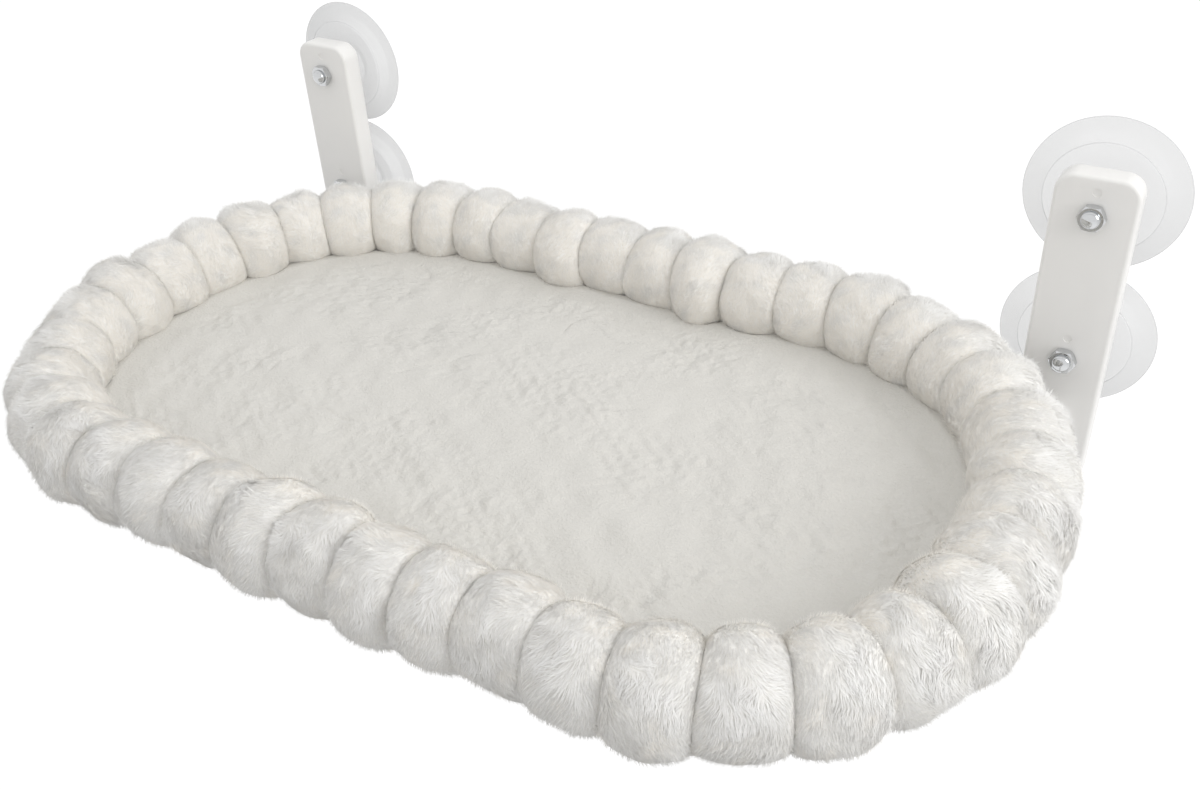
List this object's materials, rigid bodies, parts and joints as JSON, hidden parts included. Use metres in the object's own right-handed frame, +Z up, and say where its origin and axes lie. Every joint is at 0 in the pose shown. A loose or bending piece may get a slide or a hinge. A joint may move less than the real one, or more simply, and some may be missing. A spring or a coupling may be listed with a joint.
{
  "type": "cat window perch",
  "caption": "Plush oval bolster bed for a cat on a steel ring frame, held to a window by moulded arms with suction cups, and folding up flat against the glass.",
  "frame": {"origin": "on the glass, midway between the four suction cups", "axes": "+Z up, +Y through the glass away from the room, +X to the right as seen from the room"},
  "size_m": [0.614, 0.378, 0.2145],
  "materials": {
    "white_plastic": "satin moulded white plastic",
    "clear_pvc": "clear soft vinyl",
    "zinc_steel": "bright zinc plate",
    "chrome_nut": "polished",
    "coated_steel": "white powder coat",
    "nylon": "plain",
    "sling_cloth": "woven, matt",
    "pad_plush": "short crushed plush",
    "bolster_plush": "long soft plush"
  },
  "bodies": {
    "window_mounts": {"left_arm": "white_plastic", "right_arm": "white_plastic", "upper_left_suction_cup": "clear_pvc", "lower_left_suction_cup": "clear_pvc", "upper_right_suction_cup": "clear_pvc", "lower_right_suction_cup": "clear_pvc", "upper_left_cup_stud": "zinc_steel", "lower_left_cup_stud": "zinc_steel", "upper_right_cup_stud": "zinc_steel", "lower_right_cup_stud": "zinc_steel", "upper_left_acorn_nut": "chrome_nut", "lower_left_acorn_nut": "chrome_nut", "upper_right_acorn_nut": "chrome_nut", "lower_right_acorn_nut": "chrome_nut", "left_gusset_bracket": "coated_steel", "right_gusset_bracket": "coated_steel", "upper_left_bracket_screw": "zinc_steel", "lower_left_bracket_screw": "zinc_steel", "upper_right_bracket_screw": "zinc_steel", "lower_right_bracket_screw": "zinc_steel", "left_hinge_bolt": "zinc_steel", "right_hinge_bolt": "zinc_steel", "left_hinge_nut": "zinc_steel", "right_hinge_nut": "zinc_steel", "left_hinge_washer": "nylon", "right_hinge_washer": "nylon"},
    "bed": {"front_frame_tube": "coated_steel", "rear_frame_tube": "coated_steel", "left_tube_coupler": "zinc_steel", "right_tube_coupler": "zinc_steel", "front_left_coupler_screw": "zinc_steel", "rear_left_coupler_screw": "zinc_steel", "front_right_coupler_screw": "zinc_steel", "rear_right_coupler_screw": "zinc_steel", "sling": "sling_cloth", "pad": "pad_plush", "bolster": "bolster_plush"}
  },
  "joints": [
    {"name": "bed_fold", "type": "hinge", "parent": "window_mounts", "child": "bed", "pos_m": [0, -0.086, -0.062], "axis": [-1, 0, 0], "range_deg": [0, 80]}
  ]
}
